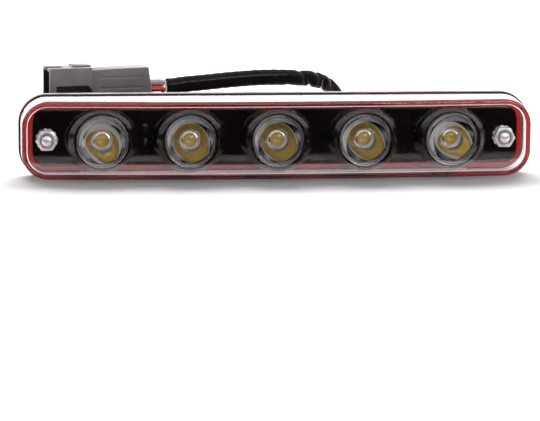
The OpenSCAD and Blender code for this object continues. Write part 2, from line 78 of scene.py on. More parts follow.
def seat_of(node):
    """Where a round solid sits: its middle along and up, its back and front ends, its radius."""
    low, high = box_of(node)
    middle, half = (low + high) / 2, (high - low) / 2
    return middle[0], middle[2], FACE_Y - high[1], FACE_Y - low[1], half[0]


print("flange's front plane, y in mm:", round(float(FACE_Y), 2))

# %% [markdown]
# Outside sizes are read from the boxes. What a box can't show is written here once, in mm:
# how far the cover bows, its wall, and how much it narrows towards the front. That slope is
# the draft, which lets a moulded piece leave its mould.

# %% Driving sizes
HALF_LENGTH, HALF_HEIGHT = (cover_high[0] - cover_low[0]) / 2, (cover_high[2] - cover_low[2]) / 2
MID_UP = (cover_high[2] + cover_low[2]) / 2
COVER_DEPTH = cover_high[1] - cover_low[1]
BOW = 4.0
END_DEPTH = COVER_DEPTH - BOW
CORNER = 10.0
WALL = 1.8
DRAFT = 0.5
MASK_BACK, MASK_FRONT = 3.7, 4.9
MASK_HALF = box_of("black_mask")[1][0]
LIGHTS = [1, 2, 3, 4, 5]
LIGHT_X = {i: seat_of(f"led_package_{i}")[0] for i in LIGHTS}
LIGHT_UP = seat_of("led_package_3")[1]


def bow_at(along):
    """How far the cover's front stands past its ends: a parabola along the lamp."""
    return BOW * (1 - (np.asarray(along) / HALF_LENGTH) ** 2)


print("cover, mm:", round(2 * HALF_LENGTH, 1), "x", round(2 * HALF_HEIGHT, 1), "x", round(COVER_DEPTH, 1))

# %% [markdown]
# The camera comes first. The photograph was taken a little from the left and from above,
# with a long lens from more than a metre away, so the lamp's right end looks slightly
# smaller. The camera is placed by two angles and a distance, which are easier to match to a
# photograph than a position, and is aimed low, so that the lamp lies high in the picture.

# %% Camera
PHOTO_WIDTH = 540


def add_object(name, data):
    """A new object at the origin for a mesh, camera or light."""
    thing = bpy.data.objects.new(name, data)
    bpy.context.scene.collection.objects.link(thing)
    return thing


def make_camera(azimuth=-6.0, elevation=10.508, distance=1171.7, focal_px=3167.0, roll=0.478):
    """A camera on a sphere round a point below the lamp, turned to its aim and rolled a little."""
    a, e = math.radians(azimuth), math.radians(elevation)
    middle, aim = Vector((0, FACE_Y, -17.95)), Vector((-1.55, FACE_Y, -13.6))
    place = middle + distance * Vector((math.sin(a) * math.cos(e), -math.cos(a) * math.cos(e), math.sin(e)))
    data = bpy.data.cameras.new("photo_camera")
    data.sensor_width = 36
    data.lens = focal_px / PHOTO_WIDTH * data.sensor_width
    data.clip_start, data.clip_end = 0.05, 20
    cam = add_object("photo_camera", data)
    cam.location = place * MM
    cam.rotation_mode = "QUATERNION"
    cam.rotation_quaternion = (aim - place).to_track_quat("-Z", "Y") @ Quaternion((0, 0, 1), math.radians(roll))
    bpy.context.scene.camera = cam
    return cam


print("focal length, mm:", round(make_camera().data.lens, 1))

# %% [markdown]
# Every new surface is a grid of points worked out by a formula. These helpers join the rows
# and columns of such a grid with faces, and turn grids into one mesh. Points that fall
# together are merged, which closes seams and poles, and then all faces are turned outward.

# %% Grids and pieces
def grid_quads(rows, cols, wrap_rows=False, wrap_cols=False):
    """Quads of a grid whose point (r, c) has number r * cols + c."""
    R, C = np.meshgrid(np.arange(rows if wrap_rows else rows - 1), np.arange(cols if wrap_cols else cols - 1),
                       indexing="ij")
    R2, C2 = (R + 1) % rows, (C + 1) % cols
    return np.stack([R * cols + C, R * cols + C2, R2 * cols + C2, R2 * cols + C], -1).reshape(-1, 4).tolist()


def end_caps(rows, cols):
    """One face over the first row of a grid and one over its last row."""
    return [list(range(cols))[::-1], [(rows - 1) * cols + k for k in range(cols)]]


def claim(piece, stands_for):
    """Ties a piece to the lamp's one body and hides the solid it stands for."""
    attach(piece, "root")
    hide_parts(stands_for)
    print(piece.name, "faces:", len(piece.data.polygons))
    return piece


def new_piece(name, parts, finish, stands_for, sharp, weld=0.001):
    """One mesh from parts (points in lamp mm, faces); edges sharper than an angle in degrees stay crisp."""
    verts, faces, start = [], [], 0
    for points, part_faces in parts:
        verts.append(to_world(points))
        faces += [[i + start for i in face] for face in part_faces]
        start += len(verts[-1])
    mesh = bpy.data.meshes.new(name)
    mesh.from_pydata(np.concatenate(verts).tolist(), [], faces)
    bm = bmesh.new()
    bm.from_mesh(mesh)
    bmesh.ops.remove_doubles(bm, verts=bm.verts, dist=weld * MM)
    bmesh.ops.dissolve_degenerate(bm, edges=bm.edges, dist=1e-7)
    bmesh.ops.recalc_face_normals(bm, faces=bm.faces)
    bm.to_mesh(mesh)
    bm.free()
    mesh.shade_smooth()
    mesh.set_sharp_from_angle(angle=math.radians(sharp))
    mesh.materials.append(finish)
    return claim(add_object(name, mesh), stands_for)


print("a closed 3 by 4 grid has", len(grid_quads(3, 4, True, True)), "quads")

# %% [markdown]
# Moulded and turned pieces start from a section drawn as a few corner points. Real edges are
# never quite sharp, and only a rounded edge shows a fine line of light, so each corner is
# replaced by a short curve. A turned piece is then that section carried round an axis.

# %% Rounded sections and turned shapes
def round_corners(section, radius=0.3, steps=4, closed=True):
    """Each corner becomes a quadratic curve between two points about a radius away from it."""
    p = np.asarray(section, float)
    n = len(p)
    out = []
    for i in range(n):
        if not closed and i in (0, n - 1):
            out.append(p[i])
            continue
        before, after = p[i - 1] - p[i], p[(i + 1) % n] - p[i]
        lb, la = np.linalg.norm(before), np.linalg.norm(after)
        reach = min(radius, 0.45 * lb, 0.45 * la)
        a, b = p[i] + before / lb * reach, p[i] + after / la * reach
        t = np.linspace(0, 1, steps + 1)[:, None]
        out += list((1 - t) ** 2 * a + 2 * t * (1 - t) * p[i] + t ** 2 * b)
    return np.array(out)


def turned(section, centre, segments=96, closed=True):
    """Each section point (radius, forward) becomes a ring about an axis that points forward."""
    r, h = np.asarray(section, float).T[..., None]
    a = np.linspace(0, 2 * np.pi, segments, endpoint=False)
    points = np.stack([r * np.cos(a), r * np.sin(a), np.broadcast_to(h, (len(r), segments))], -1)
    faces = grid_quads(len(r), segments, wrap_rows=closed, wrap_cols=True)
    return points.reshape(-1, 3) + np.asarray(centre), faces + ([] if closed else end_caps(len(r), segments))


print("points of a rounded square:", len(round_corners([(0, 0), (1, 0), (1, 1), (0, 1)])))

# %% [markdown]
# Finishes. Moulded plastic is never one even sheen: it has a very fine grain, faint flow
# marks and dust. One node group gives every material the same kind of unevenness, with its
# own scale and strength, as a roughness value, a height for a bump and a mask for colours.
# It reads Object coordinates, so the pattern sits still on the piece.

# %% Shared unevenness
def make_unevenness():
    """Group: fine noise for the height, broad noise for the mask and spread between two roughnesses."""
    g = bpy.data.node_groups.new("surface_unevenness", "ShaderNodeTree")
    for name, value in (("Grain Scale", 4000.0), ("Broad Scale", 60.0), ("Rough Low", 0.2),
                        ("Rough High", 0.3)):
        g.interface.new_socket(name, in_out="INPUT", socket_type="NodeSocketFloat").default_value = value
    for name in ("Roughness", "Height", "Mask"):
        g.interface.new_socket(name, in_out="OUTPUT", socket_type="NodeSocketFloat")
    n, l = g.nodes, g.links
    inp, out, coords = n.new("NodeGroupInput"), n.new("NodeGroupOutput"), n.new("ShaderNodeTexCoord")
    fine, broad = n.new("ShaderNodeTexNoise"), n.new("ShaderNodeTexNoise")
    for tex, scale, detail in ((fine, "Grain Scale", 3), (broad, "Broad Scale", 5)):
        tex.inputs["Detail"].default_value = detail
        l.new(coords.outputs["Object"], tex.inputs["Vector"])
        l.new(inp.outputs[scale], tex.inputs["Scale"])
    spread = n.new("ShaderNodeMapRange")
    l.new(broad.outputs["Fac"], spread.inputs["Value"])
    spread.inputs["From Min"].default_value, spread.inputs["From Max"].default_value = 0.3, 0.7
    l.new(inp.outputs["Rough Low"], spread.inputs["To Min"])
    l.new(inp.outputs["Rough High"], spread.inputs["To Max"])
    l.new(spread.outputs["Result"], out.inputs["Roughness"])
    l.new(fine.outputs["Fac"], out.inputs["Height"])
    l.new(broad.outputs["Fac"], out.inputs["Mask"])
    return g


UNEVEN = make_unevenness()
print("shared group:", UNEVEN.name)

# %% [markdown]
# An opaque finish has two close tones instead of one colour, an uneven roughness and a fine
# bump. All three come from the shared group, so a finish needs only a line of numbers. What
# never changes over a surface, such as being metal, is set on the shader's own socket.

# %% Opaque finishes
def start_material(name, **constants):
    """A new material, its node tree and its Principled shader with constant values on its own sockets."""
    mat = bpy.data.materials.new(name)
    mat.use_nodes = True
    bsdf = mat.node_tree.nodes["Principled BSDF"]
    for key, value in constants.items():
        bsdf.inputs[key.replace("_", " ")].default_value = value
    return mat, mat.node_tree, bsdf


def add_unevenness(tree, bsdf, low, high, grain, broad, bump, depth):
    """Places the shared group and feeds Roughness and, through a bump, Normal."""
    group, ridges = tree.nodes.new("ShaderNodeGroup"), tree.nodes.new("ShaderNodeBump")
    group.node_tree = UNEVEN
    for key, value in (("Grain Scale", grain), ("Broad Scale", broad), ("Rough Low", low),
                       ("Rough High", high)):
        group.inputs[key].default_value = value
    ridges.inputs["Strength"].default_value, ridges.inputs["Distance"].default_value = bump, depth
    tree.links.new(group.outputs["Roughness"], bsdf.inputs["Roughness"])
    tree.links.new(group.outputs["Height"], ridges.inputs["Height"])
    tree.links.new(ridges.outputs["Normal"], bsdf.inputs["Normal"])
    return group


def solid_finish(name, dark, light, low, high, grain=4000.0, broad=60.0, bump=0.1, depth=0.00002, **constants):
    """Base Color between two tones by the broad mask, roughness from low to high, and a fine bump."""
    mat, tree, bsdf = start_material(name, **constants)
    group = add_unevenness(tree, bsdf, low, high, grain, broad, bump, depth)
    tones = tree.nodes.new("ShaderNodeValToRGB")
    for stop, place, tone in zip(tones.color_ramp.elements, (0.35, 0.65), (dark, light)):
        stop.position, stop.color = place, (*tone, 1)
    tree.links.new(group.outputs["Mask"], tones.inputs["Fac"])
    tree.links.new(tones.outputs["Color"], bsdf.inputs["Base Color"])
    return mat


HOUSING_MAT = solid_finish("housing_plastic", (0.012, 0.012, 0.013), (0.02, 0.019, 0.02), 0.22, 0.38,
                           5200, 70, 0.25, 0.00003)
print("first finish:", HOUSING_MAT.name)

# %% [markdown]
# Clear plastic bends light, and Cycles can't follow that light back to a lamp well, so what
# lies behind the cover would turn out black. Light Path tells the rays apart: those of the
# camera and of mirror images meet true clear plastic, and shadow and diffuse rays pass
# straight through a nearly colourless pane.

# %% Clear plastics
def arithmetic(tree, operation, *inputs, kind="ShaderNodeMath", output=0):
    """A maths node: inputs that are sockets are linked, and plain values are written in."""
    node = tree.nodes.new(kind)
    node.operation = operation
    for socket, value in zip(node.inputs, inputs):
        if hasattr(value, "is_output"):
            tree.links.new(value, socket)
        else:
            socket.default_value = value
    return node.outputs[output]


def clear_finish(name, tint, ior, roughness, pane_tint):
    """Transmissive shader for what is seen, and a plain transparent one for shadow and diffuse rays."""
    mat, tree, bsdf = start_material(name, Base_Color=(*tint, 1), Transmission_Weight=1.0, IOR=ior,
                                     Roughness=roughness)
    add_unevenness(tree, bsdf, roughness, roughness * 2.5, 900.0, 45.0, 0.02, 0.00001)
    pane = tree.nodes.new("ShaderNodeBsdfTransparent")
    pane.inputs["Color"].default_value = (*pane_tint, 1)
    path, mix = tree.nodes.new("ShaderNodeLightPath"), tree.nodes.new("ShaderNodeMixShader")
    either = arithmetic(tree, "MAXIMUM", path.outputs["Is Shadow Ray"], path.outputs["Is Diffuse Ray"])
    tree.links.new(either, mix.inputs["Fac"])
    tree.links.new(bsdf.outputs[0], mix.inputs[1])
    tree.links.new(pane.outputs[0], mix.inputs[2])
    tree.links.new(mix.outputs[0], tree.nodes["Material Output"].inputs["Surface"])
    return mat


COVER_MAT = clear_finish("clear_cover", (1.0, 1.0, 1.0), 1.5, 0.01, (0.97, 0.96, 0.97))
OPTIC_MAT = clear_finish("optic_clear", (0.995, 1.0, 1.0), 1.49, 0.012, (1.0, 1.0, 1.0))
print("clear plastics:", COVER_MAT.name, OPTIC_MAT.name)

# %% [markdown]
# Cover, tray and flange share one outline: a long rectangle with round corners. A piece that
# follows it is a section carried round that outline. Each ring of the piece has an inset, a
# depth and a share of the bow, so one function makes walls that lean and faces that bow.

# %% Outline rings
ARC_STEPS, LONG_STEPS, SHORT_STEPS = 14, 60, 6


def outline(inset):
    """Points round a rectangle with round corners, drawn in by inset, from the right going up."""
    a, b, r = HALF_LENGTH - inset, HALF_HEIGHT - inset, max(CORNER - inset, 0.02)
    turn = np.linspace(0, np.pi / 2, ARC_STEPS + 1)
    up = np.linspace(-(b - r), b - r, SHORT_STEPS + 1)[1:-1]
    across = np.linspace(a - r, -(a - r), LONG_STEPS + 1)[1:-1]
    quarter = np.stack([a - r + r * np.cos(turn), b - r + r * np.sin(turn)], 1)
    right = np.stack([np.full_like(up, a), up], 1)
    top = np.stack([across, np.full_like(across, b)], 1)
    left_quarter = quarter[::-1] * [-1, 1]
    return np.concatenate([right, quarter, top, left_quarter, -right, quarter * -1, -top, left_quarter * -1])


def carried_round(section):
    """Rows of (inset, depth, share of bow) carried round the outline, as one grid of points."""
    rings = []
    for inset, depth, share in section:
        p = outline(inset)
        rings.append(np.stack([p[:, 0], p[:, 1] + MID_UP, depth + share * bow_at(p[:, 0])], 1))
    return np.concatenate(rings), len(rings), len(rings[0])


print("points round the outline:", len(outline(0)))

# %% [markdown]
# The clear cover is one moulded shell of polycarbonate, narrower and bowed towards its
# front. A cube with Bevel and Solidify could give the shell but not the bow with its draft,
# so both skins are worked out. Each skin is a leaning wall, a rounded edge and a face whose
# rings are drawn in until the last one closes into a line.

# %% Clear cover
OUTER_EDGE, INNER_EDGE = 1.0, 0.4


def cover_skin(inset, depth, edge):
    """Wall that draws in evenly, quarter circle at the edge, then the face down to its middle line."""
    t = np.linspace(0, 1, 9)[:-1]
    wall = np.stack([inset + DRAFT * t, (depth - edge) * t, t], 1)
    a = np.linspace(0, np.pi / 2, 8)
    round_edge = np.stack([inset + DRAFT + edge * (1 - np.cos(a)), depth - edge + edge * np.sin(a),
                           np.ones(8)], 1)
    inward = np.linspace(inset + DRAFT + edge + 0.4, HALF_HEIGHT, 9)
    return np.concatenate([wall, round_edge, [(s, depth, 1) for s in inward]])


def make_cover():
    """Outer skin from its middle line to the rim, then the inner skin back to its own."""
    outer, inner = cover_skin(0, END_DEPTH, OUTER_EDGE), cover_skin(WALL, END_DEPTH - WALL, INNER_EDGE)
    points, rows, cols = carried_round(np.concatenate([outer[::-1], inner]))
    return new_piece("clear_cover", [(points, grid_quads(rows, cols, wrap_cols=True))], COVER_MAT,
                     "lens_cover", 50, weld=0.002)


make_cover()

# %% [markdown]
# The red tray is a moulded frame behind the cover, seen through it as a red line round the
# mask. Its section has a raised rim, a pocket that the mask lies in and a low floor. As it
# follows the same outline, it is the same kind of sweep, only closed both ways.

# %% Red tray
TRAY_INSET = WALL + DRAFT + 0.3
TRAY_RIM, POCKET_SEAT, POCKET_FLOOR = 4.8, 3.6, 2.1
TRAY_WALL, POCKET_IN, MASK_GAP = 1.5, 2.3, 0.3
RED_MAT = solid_finish("red_plastic", (0.48, 0.022, 0.024), (0.58, 0.034, 0.036), 0.18, 0.3, 3500, 50, 0.08)


def make_tray():
    """Closed section: outer wall, front rim, seat of the mask, pocket floor and back."""
    rim = HALF_LENGTH - TRAY_INSET - MASK_HALF - MASK_GAP
    section = round_corners([(0, 0), (0, TRAY_RIM), (rim, TRAY_RIM), (rim, POCKET_SEAT),
                             (POCKET_IN, POCKET_SEAT), (POCKET_IN, POCKET_FLOOR), (TRAY_WALL, POCKET_FLOOR),
                             (TRAY_WALL, 0)])
    rows = np.stack([section[:, 0] + TRAY_INSET, section[:, 1], np.zeros(len(section))], 1)
    points, n_rows, cols = carried_round(rows)
    faces = grid_quads(n_rows, cols, wrap_rows=True, wrap_cols=True)
    return new_piece("red_inner_tray", [(points, faces)], RED_MAT, "red_tray", 50)


make_tray()

# %% [markdown]
# The black mask is a polished plate with a cone rising round each light. In the photograph a
# cone shows mainly by what it mirrors: grey above, from its rounded shoulder, with a sharp
# line below it where the wall turns steep, and black under that. So the section has a steep
# wall, a sloping shoulder and a rounded rim. Towards its foot a cone is lower than wide, as
# the lamp is low, and at the rim it is a true circle.

# %% Cones of the mask
MASK_MAT = solid_finish("mask_gloss", (0.005, 0.002, 0.002), (0.008, 0.004, 0.004), 0.04, 0.09,
                        3000, 40, 0.03, IOR=1.5)
HOLDER_FRONT, HOLDER_R = seat_of("optic_holder_3")[3:]
MOUTH_R = HOLDER_R + 0.3
RIM_R = MOUTH_R + 0.36
FOOT_R, FOOT_RISE = 13.2, 11.5
SHOULDER, SHOULDER_R = 2.2, FOOT_R - 0.72
CROWN = 0.18
COVER_GAP = 0.5


def oval(radius):
    """Share by which a cone is lower than wide: none at its rim, more towards its foot."""
    t = np.clip((radius - RIM_R) / (FOOT_R - RIM_R), 0, 1)
    return 1 - t * (1 - FOOT_RISE / FOOT_R)


def cone(i):
    """Section of foot, steep wall, sloping shoulder, rounded rim and inside wall, turned and made oval."""
    top = END_DEPTH + bow_at(abs(LIGHT_X[i]) + RIM_R) - WALL - COVER_GAP
    low, high = MASK_FRONT + 0.12, top - SHOULDER - 0.4
    t = np.linspace(0, 1, 12)
    wall = np.stack([FOOT_R - 0.1 - 0.55 * t, low + (high - low) * t], 1)
    slope = np.stack([SHOULDER_R - (SHOULDER_R - RIM_R) * t, top - SHOULDER + (SHOULDER - CROWN) * t ** 0.9], 1)
    rim = round_corners([(RIM_R, top - CROWN), (RIM_R, top), (MOUTH_R, top), (MOUTH_R, top - 0.6)], 0.14, 5,
                        closed=False)
    section = np.concatenate([[(FOOT_R + 0.1, MASK_FRONT)], wall, slope[:-1], rim,
                              [(FOOT_R - 1.2, MASK_BACK), (FOOT_R + 0.1, MASK_BACK)]])
    points, faces = turned(section, (0, 0, 0), 144)
    points[:, 1] *= oval(np.hypot(points[:, 0], points[:, 1]))
    return points + [LIGHT_X[i], LIGHT_UP, 0], faces


print("cone radius at rim and foot, mm:", round(float(RIM_R), 2), FOOT_R)

# %% [markdown]
# The cones run into each other's feet, so the plate between two of them is a patch whose
# left and right edges are arcs. Cutting holes with a Boolean would leave long thin faces
# that spoil a mirror-like surface. Instead each patch is a grid stretched between its two
# edges, which meets the cones exactly.

# %% Plate patches of the mask
PLATE_HALF = 10.6
PLATE_CORNER = 4.0
EDGE_IN, EDGE_FALL = np.array([0, 0.08, 0.3]), [0.3, 0.1, 0.0]


def plate_patch(left, right, rows=26, cols=24):
    """Straight lines from the left to the right edge, each a function of the height, with a back."""
    middle = np.linspace(-PLATE_HALF, PLATE_HALF, rows)[2:-2]
    up = np.concatenate([-PLATE_HALF + EDGE_IN, middle, PLATE_HALF - EDGE_IN[::-1]])
    fall = np.interp(PLATE_HALF - np.abs(up), EDGE_IN, EDGE_FALL)
    t = np.linspace(0, 1, cols)
    along = left(up)[:, None] * (1 - t) + right(up)[:, None] * t
    front = np.stack([along, np.broadcast_to((up + MID_UP)[:, None], along.shape),
                      np.broadcast_to((MASK_FRONT - fall)[:, None], along.shape)], -1)
    back = front.copy()
    back[..., 2] = MASK_BACK
    quads = grid_quads(len(up), cols)
    points = np.stack([front, back[:, ::-1]], 0).reshape(-1, 3)
    return points, quads + [[k + along.size for k in quad] for quad in quads]


def foot_edge(x, side):
    """Edge of a patch against a cone's foot: half of the foot's oval, on that side."""
    rise = lambda up: (up + MID_UP - LIGHT_UP) / FOOT_RISE
    return lambda up: x + side * FOOT_R * np.sqrt(np.maximum(1 - rise(up) ** 2, 0))


def end_edge(side):
    """The plate's own end, whose corners are quarter circles."""
    over = lambda up: np.maximum(np.abs(up) - (PLATE_HALF - PLATE_CORNER), 0)
    reach = lambda up: np.sqrt(np.maximum(PLATE_CORNER ** 2 - over(up) ** 2, 0))
    return lambda up: side * (MASK_HALF - PLATE_CORNER + reach(up))


EDGES = [end_edge(-1)] + [foot_edge(LIGHT_X[i], side) for i in LIGHTS for side in (-1, 1)] + [end_edge(1)]
patches = [plate_patch(EDGES[k], EDGES[k + 1]) for k in range(0, len(EDGES), 2)]
print("patches:", len(patches))

# %% [markdown]
# Two small locating pips stand on the plate between the first two lights. With them the mask
# is complete, and all its parts become one piece, as it is one moulding.

# %% Pips and the whole mask
def pip(rise, radius):
    """A low drum with a dished top, turned from its section."""
    foot, top = MASK_FRONT - 0.3, MASK_FRONT + 0.5
    section = round_corners([(0.02, foot), (radius, foot), (radius, top), (radius * 0.75, top),
                             (0.02, top - 0.2)], 0.15, 4, closed=False)
    middle = (LIGHT_X[1] + LIGHT_X[2]) / 2
    return turned(section, (middle, LIGHT_UP + rise, 0), 48, closed=False)


new_piece("black_mask_gloss", patches + [cone(i) for i in LIGHTS] + [pip(4.4, 1.3), pip(-0.8, 1.0)], MASK_MAT,
          "black_mask", 40)

# %% [markdown]
# Each light is a package with a yellow dome, under a moulded optic in a bright cup. The
# optic is a clear bowl. Its wall is a parabola with the focus at the light, so that it
# mirrors the light forward, and the well in the middle of its face works as a lens. What
# the camera sees in it is bent and mirrored by this very shape, so the real section is
# modelled and turned, and no picture of a light is painted on.

# %% Optics
OPTIC_FOOT, OPTIC_FRONT, OPTIC_R = seat_of("optic_3")[2:]
DOME_R = 1.9
WELL_R = 4.1
WELL_SHARE = 0.42
FLANGE = 1.3


def parabola(height, top_radius, total):
    """Radius of a bowl of that height whose focus lies on the axis at its foot."""
    focal = (math.hypot(total, top_radius) - total) / 2
    return 2 * np.sqrt(focal * (np.asarray(height) + focal))


def make_optic(i):
    """Bowl wall, flange, face, well with a bulging floor, and a cave over the light, all turned."""
    total = OPTIC_FRONT - OPTIC_FOOT
    bowl = total - FLANGE
    h, a = np.linspace(0, bowl, 22), np.linspace(0, np.pi / 2, 8)
    wall = np.stack([parabola(h, OPTIC_R - 0.5, bowl), h], 1)
    face = [(OPTIC_R, bowl + 0.05), (OPTIC_R, total - 0.15), (OPTIC_R - 0.15, total), (4.6, total),
            (4.25, total - 0.06)]
    well_depth = total * WELL_SHARE
    well = np.stack([WELL_R + 0.12 * np.cos(a) - 0.12, total - well_depth * np.sin(a)], 1)
    eye_r = np.linspace(3.9, 0.02, 12)
    eye = np.stack([eye_r, total - well_depth + 1.7 * (1 - (eye_r / 3.9) ** 2)], 1)
    cave_r = np.linspace(0.02, DOME_R + 0.5, 10)
    cave = np.stack([cave_r, DOME_R + 1.3 + 0.8 * (cave_r / (DOME_R + 0.5)) ** 2], 1)
    section = np.concatenate([wall, face, well, eye, cave, [(DOME_R + 0.55, 0.05)]])
    return new_piece(f"optic_{i}_clear", [turned(section, (LIGHT_X[i], LIGHT_UP, OPTIC_FOOT))], OPTIC_MAT,
                     f"optic_{i}", 30)


print("optic, mm:", round(float(2 * OPTIC_R), 1), "wide,", round(float(OPTIC_FRONT - OPTIC_FOOT), 1), "deep")

# %% [markdown]
# The cup holds the optic and hides the board. It is thin plastic with a vapour of metal on
# it, so it is a metal finish, and its rim, the bright ring round each light, is rounded
# enough to catch a line of light.

# %% Bright cups
CUP_MAT = solid_finish("holder_silver", (0.21, 0.2, 0.2), (0.28, 0.27, 0.27), 0.1, 0.18,
                       3000, 50, 0.05, Metallic=1.0)
CUP_FOOT_R, CUP_WALL = 5.9, 0.62


def make_holder(i):
    """Outer wall by a power curve, rounded rim, and the same curve inside, turned."""
    h = np.linspace(0.1, HOLDER_FRONT - 2.4, 14)
    t = (h - h[0]) / (h[-1] - h[0])
    outer = np.stack([CUP_FOOT_R + (HOLDER_R - CUP_FOOT_R) * t ** 0.75, h], 1)
    inner = outer[::-1] - [CUP_WALL, 0]
    rim = round_corners([outer[-1], (HOLDER_R, HOLDER_FRONT), (HOLDER_R - CUP_WALL, HOLDER_FRONT), inner[0]],
                        0.28, 6, closed=False)
    section = np.concatenate([outer[:-1], rim, inner[1:]])
    return new_piece(f"holder_{i}_bright", [turned(section, (LIGHT_X[i], LIGHT_UP, 0))], CUP_MAT,
                     f"optic_holder_{i}", 40)


print("cup, mm:", round(float(2 * HOLDER_R), 1))

# %% [markdown]
# The dome is silicone over yellow phosphor, which is what makes the lights look yellow while
# they are off. The two end lights show their yellow to one side only. Small domes off the
# axis give that look through the optic, which a change of colour could not.

# %% Yellow domes
PHOSPHOR_MAT = solid_finish("led_phosphor", (0.72, 0.46, 0.06), (0.82, 0.55, 0.085), 0.15, 0.25,
                            6000, 400, 0.1)
END_DOMES = {LIGHTS[0]: (1.05, -0.25, -0.5), LIGHTS[-1]: (1.15, 0.3, -0.5)}
DOME_BACK, DOME_FOOT = 0.66, 0.95


def make_dome(i):
    """Half a ball on a short drum; an end light has its own radius and shifts along and up."""
    radius, aside, lift = END_DOMES.get(i, (DOME_R, 0, 0))
    a = np.linspace(0, np.pi / 2, 14)
    ball = np.stack([radius * np.cos(a), DOME_FOOT + radius * np.sin(a)], 1)
    ball[-1, 0] = 0.01
    section = np.concatenate([[(0.01, DOME_BACK), (radius, DOME_BACK)], ball])
    part = turned(section, (LIGHT_X[i] + aside, LIGHT_UP + lift, 0), 64, closed=False)
    return new_piece(f"led_{i}_dome", [part], PHOSPHOR_MAT, f"led_dome_{i}", 40, weld=0.002)


for light in LIGHTS:
    make_optic(light)
    make_holder(light)
    make_dome(light)

# %% [markdown]
# Studs, toothed washers and nuts are small but shiny, so they need true edges. A stud's
# thread is worked out as a radius for every turn and height, which costs one grid and no
# Boolean. The stud runs through the flange and has a round shoulder behind it.

# %% Studs
STEEL_MAT = solid_finish("zinc_steel", (0.86, 0.85, 0.85), (0.95, 0.94, 0.94), 0.25, 0.4,
                         3500, 220, 0.2, 0.00002, Metallic=0.7)
STUD_R = 2.0
DOME_H = 0.9
SHOULDER_FRONT, SHOULDER_BACK = -4, -6


def thread_radius(turn, height, pitch=0.7, depth=0.3):
    """A triangular ridge that climbs one pitch in each turn."""
    phase = np.mod(height / pitch - turn / (2 * np.pi), 1.0)
    return STUD_R - depth * np.abs(2 * phase - 1)


def make_stud(side):
    """Thread under a cap that rounds both ends as a quarter circle does, plain near the front."""
    x, up, back, front, shoulder_r = seat_of(f"mounting_stud_{side}")
    ends = DOME_H * (1 - np.cos(np.linspace(0, np.pi / 2, 10)))
    heights = np.concatenate([back + ends, np.linspace(back + 0.95, front - 0.95, 280),
                              (front - ends)[::-1]])
    H, T = np.meshgrid(heights, np.linspace(0, 2 * np.pi, 40, endpoint=False), indexing="ij")
    end = np.clip(np.minimum(front - H, H - back) / DOME_H, 0, 1)
    cap = STUD_R * (0.12 + 0.88 * np.sqrt(1 - (1 - end) ** 2))
    R = np.minimum(np.where(H > front - 1.3, STUD_R - 0.08, thread_radius(T, H)), cap)
    rod = np.stack([x + R * np.cos(T), up + R * np.sin(T), H], -1).reshape(-1, 3)
    faces = grid_quads(*H.shape, wrap_cols=True) + end_caps(*H.shape)
    inside = STUD_R - 0.4
    section = round_corners([(inside, SHOULDER_FRONT), (shoulder_r, SHOULDER_FRONT),
                             (shoulder_r, SHOULDER_BACK), (inside, SHOULDER_BACK)])
    return new_piece(f"stud_{side}_threaded", [(rod, faces), turned(section, (x, up, 0), 48)], STEEL_MAT,
                     f"mounting_stud_{side}", 30)


print("stud thread, mm:", 2 * STUD_R)

# %% [markdown]
# A nut is a hexagon whose corners are turned off on both faces. As a radius for every angle
# a hexagon is its half width over a cosine, and the chamfer lowers a face by how far the
# corner reaches past the circle inside. The bore is deep and wide at the front, which shows
# as the dark ring round the stud's end.

# %% Nuts
ACROSS_FLATS = 7.0
BORE_R = STUD_R + 0.05


def stacked_rings(x, up, turn, rows):
    """Closed ring-shaped piece: each row is a radius and a height, for all angles or one each."""
    points = [np.stack([x + r * np.cos(turn), up + r * np.sin(turn), np.broadcast_to(h, turn.shape)], 1)
              for r, h in rows]
    return np.concatenate(points), grid_quads(len(rows), len(turn), wrap_rows=True, wrap_cols=True)


def make_nut(side):
    """Hexagon drawn in to a circle at both faces, with a countersunk bore."""
    x, up, back, front, _ = seat_of(f"nut_{side}")
    turn = np.linspace(0, 2 * np.pi, 144, endpoint=False)
    hexagon = ACROSS_FLATS / 2 / np.cos(np.mod(turn, np.pi / 3) - np.pi / 6)
    circle = ACROSS_FLATS / 2 - 0.25
    drop = (hexagon - circle) * math.tan(math.radians(30))
    rows = [(hexagon, back + drop), (hexagon, front - drop), (circle, front), (BORE_R + 0.6, front),
            (BORE_R + 0.52, front - 0.12), (BORE_R + 0.5, front - 2.15), (BORE_R, front - 2.2),
            (BORE_R, back + 0.45), (BORE_R + 0.45, back), (circle, back)]
    return new_piece(f"nut_{side}_hex", [stacked_rings(x, up, turn, rows)], STEEL_MAT,
                     f"nut_{side}", 25)


print("nut across flats, mm:", ACROSS_FLATS)

# %% [markdown]
# A lock washer is a flat ring cut into teeth, each bent a little to one side so that it
# bites. A sine that is pressed flat by a hyperbolic tangent makes teeth with steep sides and
# soft corners, and a small wave in the height bends them.

# %% Toothed washers
def make_washer(side, teeth=12):
    """Outer radius by a flattened sine, height by a small cosine on the teeth only."""
    x, up, back, front, outer_r = seat_of(f"lock_washer_{side}")
    turn = np.linspace(0, 2 * np.pi, teeth * 16, endpoint=False)
    wave = np.sin(turn * teeth)
    edge = outer_r - 0.16 + 0.16 * np.tanh(3 * wave)
    tilt = 0.04 * np.cos(turn * teeth) * (wave > -0.2)
    inner_r, land_r = 2.1, outer_r - 1.1
    over, under = (back + front) / 2 + 0.22, (back + front) / 2 - 0.22
    rows = [(inner_r, over), (land_r, over), (edge, over + tilt), (edge, under + tilt), (land_r, under),
            (inner_r, under)]
    return new_piece(f"washer_{side}_toothed", [stacked_rings(x, up, turn, rows)], STEEL_MAT,
                     f"lock_washer_{side}", 30)


for end in ("left", "right"):
    make_stud(end)
    make_nut(end)
    make_washer(end)

